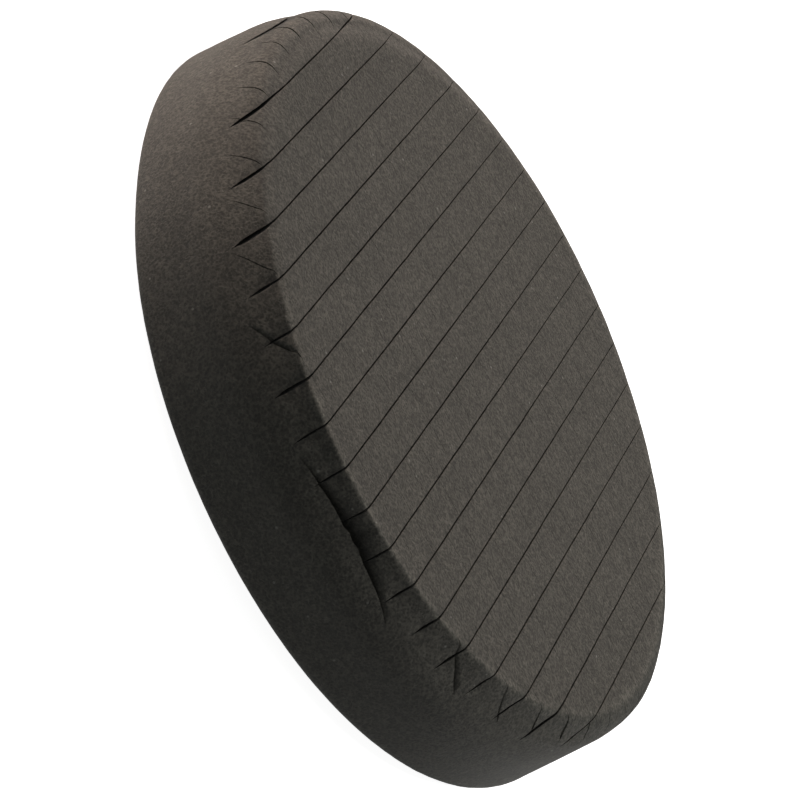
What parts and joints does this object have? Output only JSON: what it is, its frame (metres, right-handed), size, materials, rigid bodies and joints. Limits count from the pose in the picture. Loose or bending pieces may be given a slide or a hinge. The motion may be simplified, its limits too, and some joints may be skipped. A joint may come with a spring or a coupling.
{
  "type": "polishing pad",
  "caption": "Round foam polishing pad with a square grid of slits in its flat face, a rounded shoulder and a hook-and-loop backing.",
  "frame": {"origin": "centre of the loop face at the back of the pad, which the machine's backing plate grips", "axes": "+Z along the pad's axis, out of the slit working face; +X and +Y across the two sets of slits"},
  "size_m": [0.15, 0.15, 0.0275],
  "materials": {
    "foam": "matt open-cell polyurethane foam",
    "adhesive": "satin hot-melt film",
    "knit": "tight warp knit",
    "loops": "brushed nylon loops with a soft sheen"
  },
  "bodies": {
    "root": {"foam_block": "foam", "adhesive_film": "adhesive", "knit_backing": "knit", "loop_pile": "loops"}
  },
  "joints": []
}
